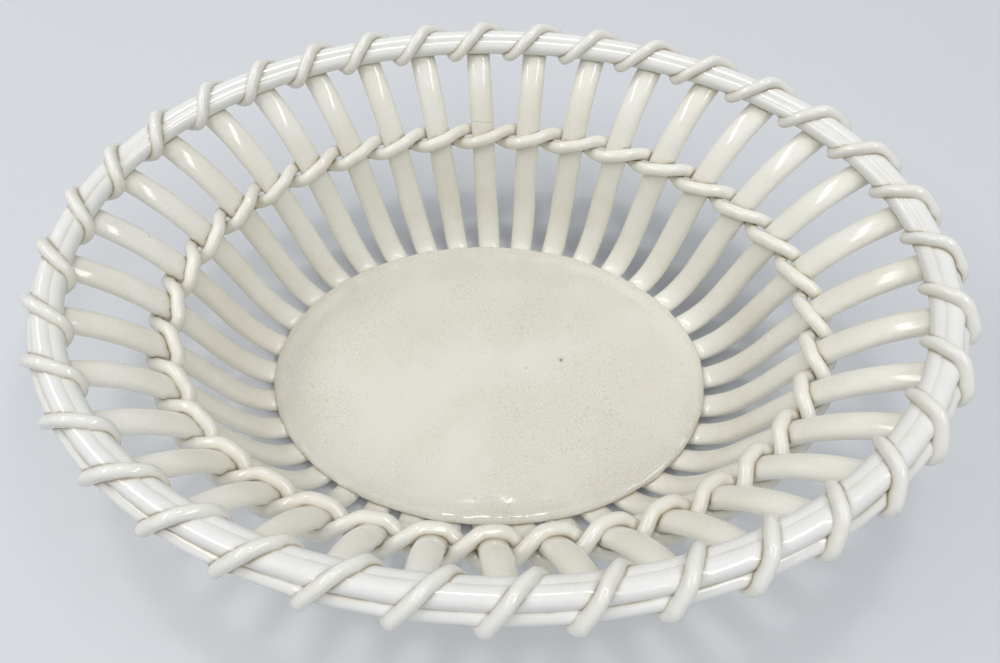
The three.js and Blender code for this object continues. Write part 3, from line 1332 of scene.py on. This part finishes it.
    @staticmethod
    def build_hairline() -> bpy.types.NodeTree:
        """Builds one fine crack straight across a rib.

        Returns:
            The group, with the crack's mask.
        """
        made, tree = new_group(
            "hairline_crack",
            {
                "Where": ("NodeSocketVector", None),
                "Centre": ("NodeSocketVector", None),
                "Along": ("NodeSocketVector", None),
                "Width": ("NodeSocketFloat", 0.00012),
                "Reach": ("NodeSocketFloat", 0.006),
                "Wander": ("NodeSocketFloat", 0.0012),
            },
            {"Line": "NodeSocketFloat"},
        )
        given, out = tree.add("NodeGroupInput"), tree.add("NodeGroupOutput")
        off = tree.add("ShaderNodeVectorMath", operation="SUBTRACT")
        tree.link(given.outputs["Where"], off.inputs[0])
        tree.link(given.outputs["Centre"], off.inputs[1])
        above = tree.add("ShaderNodeVectorMath", operation="DOT_PRODUCT")
        tree.link(off.outputs[0], above.inputs[0])
        tree.link(given.outputs["Along"], above.inputs[1])
        away = tree.add("ShaderNodeVectorMath", operation="LENGTH")
        tree.link(off.outputs[0], away.inputs[0])
        jagged = tree.noise(given.outputs["Where"], scale=420.0, detail=3.0, roughness=0.6)
        stray = tree.math("MULTIPLY", tree.math("SUBTRACT", jagged, 0.5), given.outputs["Wander"])
        height = tree.math("ADD", above.outputs["Value"], stray)
        widths_off = tree.math("DIVIDE", tree.math("ABSOLUTE", height), given.outputs["Width"])
        line = tree.math("SUBTRACT", 1.0, widths_off, clamp=True)
        near = tree.math("LESS_THAN", away.outputs["Value"], given.outputs["Reach"])
        tree.link(tree.math("MULTIPLY", line, near), out.inputs["Line"])
        return made


@dataclass(frozen=True)
class Pinhole:
    """One pinhole in the glaze: where it is, how wide and how deep."""

    centre: tuple[float, float, float]
    radius: float
    depth: float


@dataclass(frozen=True)
class Hairline:
    """One fine crack: where it crosses a rib and which way the rib runs there."""

    centre: tuple[float, float, float]
    along: tuple[float, float, float]


@dataclass(frozen=True)
class Wear:
    """The marks of age that all the glazes share, with the painted shade in the seams: their colours, how
    strong they are and how deep.
    """

    crack_colour: Colour = (0.40, 0.36, 0.27, 1)
    # Dark seam colour: real dirt, and painted shade down in each joint.
    dirt_and_shade_colour: Colour = (0.20, 0.155, 0.09, 1)
    speck_colour: Colour = (0.16, 0.12, 0.08, 1)
    pinhole_colour: Colour = (0.14, 0.13, 0.12, 1)
    hairline_colour: Colour = (0.20, 0.18, 0.16, 1)
    mottle_share: float = 0.16
    speck_share: float = 0.75
    pinhole_share: float = 0.7
    ring_share: float = 0.5
    hairline_share: float = 0.6
    mottle_roughness: float = 0.03
    speck_roughness: float = 0.4
    crack_depth: float = 0.0000025
    speck_depth: float = 0.00008


@dataclass(frozen=True)
class Glaze:
    """One finish of the basket: its record slot, its colours and how worn, cracked and wavy it is."""

    slot: str
    cream: Colour
    cloud: Colour
    stain: Colour
    cloud_share: float
    stain_share: float
    # How strongly the seam is darkened: dirt, and painted shade in the joint.
    dirt_and_shade_share: float
    crack_share: float
    crack_cell: float
    roughness: float
    waves: float
    pinholes: tuple[Pinhole, ...] = ()
    hairlines: tuple[Hairline, ...] = ()
    wear: Wear = Wear()
    refraction: float = 1.52

    def material(self, effects: Effects) -> bpy.types.Material:
        """Builds the glaze's material: its colour, its gloss and its fine relief.

        Args:
            effects: The shared node groups.

        Returns:
            The material.
        """
        wear = self.wear
        made = bpy.data.materials.new(self.slot)
        made.use_nodes = True
        made.node_tree.nodes.clear()
        tree = Tree(made.node_tree)
        where = tree.add("ShaderNodeTexCoord").outputs["Object"]
        joint = tree.add("ShaderNodeAttribute", attribute_name=Luting.attribute).outputs["Fac"]
        clouds = tree.group(effects.clouding, Where=where)
        cracks = tree.group(effects.crazing, Where=where, Cell=self.crack_cell).outputs["Cracks"]
        stained = tree.group(effects.staining, Where=where, Joint=joint)
        specks = tree.group(effects.pinholes, Where=where).outputs["Specks"]
        waves = tree.group(effects.waviness, Where=where, Depth=self.waves).outputs["Height"]

        cloudy = tree.math("MULTIPLY", clouds.outputs["Clouds"], self.cloud_share)
        colour = tree.mix(cloudy, self.cream, self.cloud)
        mottled = tree.math("MULTIPLY", clouds.outputs["Mottle"], wear.mottle_share)
        colour = tree.mix(mottled, colour, self.cloud)
        crazed = tree.math("MULTIPLY", cracks, self.crack_share)
        colour = tree.mix(crazed, colour, wear.crack_colour)
        tanned = tree.math("MULTIPLY", stained.outputs["Stain"], self.stain_share)
        colour = tree.mix(tanned, colour, self.stain)
        # Dirt and painted shade darken the seam of each joint.
        seam_dirt_and_shade = tree.math("MULTIPLY", stained.outputs["Dirt"], self.dirt_and_shade_share)
        colour = tree.mix(seam_dirt_and_shade, colour, wear.dirt_and_shade_colour)
        specked = tree.math("MULTIPLY", specks, wear.speck_share)
        colour = tree.mix(specked, colour, wear.speck_colour)

        marks: list[bpy.types.NodeSocket] = []
        for pinhole in self.pinholes:
            spot = tree.group(effects.lone_pinhole, Where=where, Centre=pinhole.centre, Radius=pinhole.radius)
            holed = tree.math("MULTIPLY", spot.outputs["Hole"], wear.pinhole_share)
            colour = tree.mix(holed, colour, wear.pinhole_colour)
            ring = tree.math("MULTIPLY", spot.outputs["Ring"], wear.ring_share)
            raised = tree.math("SUBTRACT", ring, spot.outputs["Hole"])
            marks.append(tree.math("MULTIPLY", raised, pinhole.depth))
        for hairline in self.hairlines:
            crack = tree.group(effects.hairline, Where=where, Centre=hairline.centre, Along=hairline.along)
            cracked = tree.math("MULTIPLY", crack.outputs["Line"], wear.hairline_share)
            colour = tree.mix(cracked, colour, wear.hairline_colour)

        rough = tree.math("MULTIPLY", clouds.outputs["Mottle"], wear.mottle_roughness)
        rough = tree.math("ADD", rough, self.roughness)
        rough = tree.math("ADD", rough, tree.math("MULTIPLY", specks, wear.speck_roughness), clamp=True)

        height = tree.math("SUBTRACT", waves, tree.math("MULTIPLY", cracks, wear.crack_depth))
        height = tree.math("SUBTRACT", height, tree.math("MULTIPLY", specks, wear.speck_depth))
        for mark in marks:
            height = tree.math("ADD", height, mark)
        bump = tree.add("ShaderNodeBump")
        bump.inputs["Strength"].default_value = 1.0
        bump.inputs["Distance"].default_value = 1.0
        tree.link(height, bump.inputs["Height"])

        clay = tree.add("ShaderNodeBsdfPrincipled")
        tree.link(colour, clay.inputs["Base Color"])
        tree.link(rough, clay.inputs["Roughness"])
        tree.link(bump.outputs["Normal"], clay.inputs["Normal"])
        clay.inputs["IOR"].default_value = self.refraction
        out = tree.add("ShaderNodeOutputMaterial")
        tree.link(clay.outputs[0], out.inputs["Surface"])
        return made


class Finish(Enum):
    """The glaze of each kind of piece."""

    PLATE = Glaze(
        slot="plate_glaze",
        cream=(0.685, 0.678, 0.607, 1),
        cloud=(0.605, 0.57, 0.47, 1),
        stain=(0.43, 0.36, 0.23, 1),
        cloud_share=0.40,
        stain_share=0.55,
        dirt_and_shade_share=0.75,
        crack_share=0.48,
        crack_cell=0.00105,
        roughness=0.09,
        waves=0.00005,
        pinholes=(
            Pinhole(centre=(0.02305, 0.00509, 0.0067), radius=0.00062, depth=0.00022),
            Pinhole(centre=(0.01071, 0.00120, 0.0067), radius=0.00028, depth=0.00008),
        ),
    )
    RIB = Glaze(
        slot="rib_glaze",
        cream=(0.87, 0.86, 0.80, 1),
        cloud=(0.76, 0.705, 0.595, 1),
        stain=(0.46, 0.385, 0.25, 1),
        cloud_share=0.52,
        stain_share=0.70,
        dirt_and_shade_share=0.75,
        crack_share=0.13,
        crack_cell=0.0013,
        roughness=0.11,
        waves=0.00003,
        hairlines=(Hairline(centre=(-0.0097, 0.0782, 0.0495), along=(0.03, 0.70, 0.71)),),
    )
    ROD = Glaze(
        slot="rod_glaze",
        cream=(0.79, 0.795, 0.78, 1),
        cloud=(0.745, 0.72, 0.655, 1),
        stain=(0.51, 0.44, 0.30, 1),
        cloud_share=0.24,
        stain_share=0.55,
        dirt_and_shade_share=0.7,
        crack_share=0.07,
        crack_cell=0.0015,
        roughness=0.14,
        waves=0.00005,
    )
    STRAND = Glaze(
        slot="strand_glaze",
        cream=(0.82, 0.81, 0.745, 1),
        cloud=(0.69, 0.635, 0.52, 1),
        stain=(0.45, 0.37, 0.23, 1),
        cloud_share=0.45,
        stain_share=0.75,
        dirt_and_shade_share=0.8,
        crack_share=0.09,
        crack_cell=0.0014,
        roughness=0.10,
        waves=0.00004,
    )
    CORD = Glaze(
        slot="cord_glaze",
        cream=(0.81, 0.805, 0.765, 1),
        cloud=(0.73, 0.685, 0.585, 1),
        stain=(0.48, 0.41, 0.27, 1),
        cloud_share=0.28,
        stain_share=0.72,
        dirt_and_shade_share=0.75,
        crack_share=0.07,
        crack_cell=0.0015,
        roughness=0.10,
        waves=0.00004,
    )


@dataclass
class Basket:
    """The whole basket: makes its pieces, lutes them together and glazes them."""

    plate_oval: Oval = field(
        default_factory=lambda: Oval(152.4 * MM, 111.2 * MM, 1.015, Vector((-2.9 * MM, -0.5 * MM, 0)))
    )
    pieces: dict[Finish, list[bpy.types.Object]] = field(default_factory=dict)

    def make(self) -> None:
        """Makes every piece."""
        rim = Rim()
        wall = RibWall(rim, self.plate_oval)
        band = PairedBand(wall)
        self.pieces[Finish.PLATE] = [BasePlate(self.plate_oval).plate()]
        self.pieces[Finish.RIB] = [wall.rib(i) for i in range(wall.count)]
        self.pieces[Finish.ROD] = [rim.rod(place) for place in RodPlace]
        self.pieces[Finish.STRAND] = [band.strand(start) for start in StrandStart]
        self.pieces[Finish.CORD] = [Binding(wall).cord()]

    def lute(self) -> None:
        """Works each piece into what it touches."""
        luting = Luting()
        groups: list[tuple[str, list[bpy.types.Object]]] = []
        for finish, made in self.pieces.items():
            groups += [("ribs", made)] if finish is Finish.RIB else [(piece.name, [piece]) for piece in made]
        trees = [luting.tree(made) for _, made in groups]
        for number, (name, made) in enumerate(groups):
            others = [other for other in range(len(groups)) if other != number]
            neighbours = [luting.neighbour(trees[other], name, groups[other][0]) for other in others]
            for piece in made:
                luting.work(piece, neighbours)

    def glaze(self) -> None:
        """Glazes the pieces and rides them on the basket's one body."""
        effects = Effects()
        for finish, made in self.pieces.items():
            material = finish.value.material(effects)
            for piece in made:
                piece.data.materials.append(material)
                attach(piece, BODY)
                log.info("%s: %d faces, %s", piece.name, len(piece.data.polygons), finish.value.slot)


@dataclass(frozen=True)
class Lamp:
    """One soft oblong lamp, aimed at a point of the basket."""

    name: str
    place: tuple[float, float, float]
    aim: tuple[float, float, float]
    size: tuple[float, float]
    watts: float
    colour: tuple[float, float, float]

    def hang(self) -> None:
        """Hangs the lamp."""
        data = bpy.data.lights.new(self.name, "AREA")
        data.shape = "RECTANGLE"
        data.size, data.size_y = self.size
        data.energy = self.watts
        data.color = self.colour
        lamp = bpy.data.objects.new(self.name, data)
        lamp.location = self.place
        lamp.rotation_euler = (Vector(self.aim) - Vector(self.place)).to_track_quat("-Z", "Y").to_euler()
        bpy.context.scene.collection.objects.link(lamp)


@dataclass(frozen=True)
class Skylight:
    """A wide soft light from far above, the same all over the table."""

    name: str = "skylight"
    travel: tuple[float, float, float] = (0.0, 0.15, -1.0)
    spread: float = math.radians(80)
    strength: float = 0.69

    def open(self) -> None:
        """Opens the skylight."""
        data = bpy.data.lights.new(self.name, "SUN")
        data.angle = self.spread
        data.energy = self.strength
        light = bpy.data.objects.new(self.name, data)
        light.rotation_euler = Vector(self.travel).to_track_quat("-Z", "Y").to_euler()
        bpy.context.scene.collection.objects.link(light)


@dataclass(frozen=True)
class Viewpoint:
    """Where the photograph was taken from, in the basket's frame."""

    place: tuple[float, float, float] = (15.715 * MM, -131.285 * MM, 246.698 * MM)
    azimuth: float = -0.1030
    dip: float = 1.0181
    roll: float = -0.0461
    focal_pixels: float = 769.333
    frame_pixels: float = 1000.0
    sensor: float = 36.0
    nearest: float = 0.01
    farthest: float = 20.0

    def stand(self) -> None:
        """Makes the camera and looks through it."""
        forward = Vector((
            math.sin(self.azimuth) * math.cos(self.dip),
            math.cos(self.azimuth) * math.cos(self.dip),
            -math.sin(self.dip),
        ))
        right = Vector((math.cos(self.azimuth), -math.sin(self.azimuth), 0))
        up = right.cross(forward)
        turned = right * math.cos(self.roll) + up * math.sin(self.roll)
        raised = up * math.cos(self.roll) - right * math.sin(self.roll)
        data = bpy.data.cameras.new("photograph_view")
        data.sensor_width = self.sensor
        data.lens = self.focal_pixels / self.frame_pixels * self.sensor
        data.clip_start, data.clip_end = self.nearest, self.farthest
        camera = bpy.data.objects.new("photograph_view", data)
        facing = Matrix((turned, raised, -forward)).transposed().to_4x4()
        camera.matrix_world = Matrix.Translation(Vector(self.place)) @ facing
        bpy.context.scene.collection.objects.link(camera)
        bpy.context.scene.camera = camera


@dataclass
class Studio:
    """The plain pale table, the soft lamps and the white surroundings."""

    table_side: float = 12.0
    table_colour: Colour = (0.64, 0.66, 0.69, 1)
    grain_colour: Colour = (0.56, 0.58, 0.61, 1)
    table_roughness: float = 0.6
    table_gloss: float = 0.25
    surroundings: float = 0.31
    surroundings_colour: Colour = (0.94, 0.97, 1.0, 1)
    skylight: Skylight = Skylight()
    lamps: tuple[Lamp, ...] = (
        Lamp(
            name="left_strip",
            place=(-0.80, 0.0, 1.05),
            aim=(0, 0, 0.04),
            size=(1.30, 0.18),
            watts=5.4,
            colour=(1.0, 0.99, 0.97),
        ),
        Lamp(
            name="back_strip",
            place=(-0.04, 0.26, 1.25),
            aim=(-0.04, 0.20, 0.04),
            size=(0.14, 0.09),
            watts=1.7,
            colour=(1.0, 0.995, 0.985),
        ),
        Lamp(
            name="right_strip",
            place=(0.62, -0.40, 1.15),
            aim=(0, -0.40, 0.04),
            size=(1.15, 0.15),
            watts=4.8,
            colour=(0.98, 0.99, 1.0),
        ),
    )

    def lay_table(self) -> None:
        """Lays the table top under the basket."""
        bm = bmesh.new()
        bmesh.ops.create_grid(bm, x_segments=1, y_segments=1, size=self.table_side / 2)
        table = finished("table_top", bm)
        made = bpy.data.materials.new("pale_table")
        made.use_nodes = True
        made.node_tree.nodes.clear()
        tree = Tree(made.node_tree)
        where = tree.add("ShaderNodeTexCoord").outputs["Object"]
        uneven = tree.noise(where, scale=9.0, detail=3.0, roughness=0.5)
        grain = tree.ramp(uneven, low=0.3, high=0.7, end=0.04)
        top = tree.add("ShaderNodeBsdfPrincipled")
        tree.link(tree.mix(grain, self.table_colour, self.grain_colour), top.inputs["Base Color"])
        top.inputs["Roughness"].default_value = self.table_roughness
        top.inputs["Specular IOR Level"].default_value = self.table_gloss
        out = tree.add("ShaderNodeOutputMaterial")
        tree.link(top.outputs[0], out.inputs["Surface"])
        table.data.materials.append(made)

    def surround(self) -> None:
        """Lights the surroundings softly, and shows them white to the camera, in gloss and through glass."""
        world = bpy.data.worlds.new("soft_room")
        bpy.context.scene.world = world
        world.use_nodes = True
        world.node_tree.nodes.clear()
        tree = Tree(world.node_tree)
        path = tree.add("ShaderNodeLightPath")
        soft = tree.add("ShaderNodeBackground")
        soft.inputs["Color"].default_value = self.surroundings_colour
        soft.inputs["Strength"].default_value = self.surroundings
        white = tree.add("ShaderNodeBackground")
        white.inputs["Color"].default_value = (1, 1, 1, 1)
        mix = tree.add("ShaderNodeMixShader")
        gloss = tree.math("ADD", path.outputs["Is Glossy Ray"], path.outputs["Is Transmission Ray"])
        seen = tree.math("ADD", path.outputs["Is Camera Ray"], gloss, clamp=True)
        tree.link(seen, mix.inputs[0])
        tree.link(soft.outputs[0], mix.inputs[1])
        tree.link(white.outputs[0], mix.inputs[2])
        out = tree.add("ShaderNodeOutputWorld")
        tree.link(mix.outputs[0], out.inputs["Surface"])

    def set_up(self) -> None:
        """Sets up the table, the surroundings and the lights."""
        self.lay_table()
        self.surround()
        self.skylight.open()
        for lamp in self.lamps:
            lamp.hang()
        bpy.context.scene.view_settings.view_transform = "Standard"


def main() -> None:
    """Builds the whole scene, in order."""
    logging.basicConfig(level=logging.INFO, format="%(name)s: %(message)s")
    noise.seed_set(NOISE_SEED)
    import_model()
    Viewpoint().stand()
    basket = Basket()
    basket.make()
    basket.lute()
    basket.glaze()
    Studio().set_up()
    bpy.context.view_layer.update()


if __name__ == "__main__":
    main()
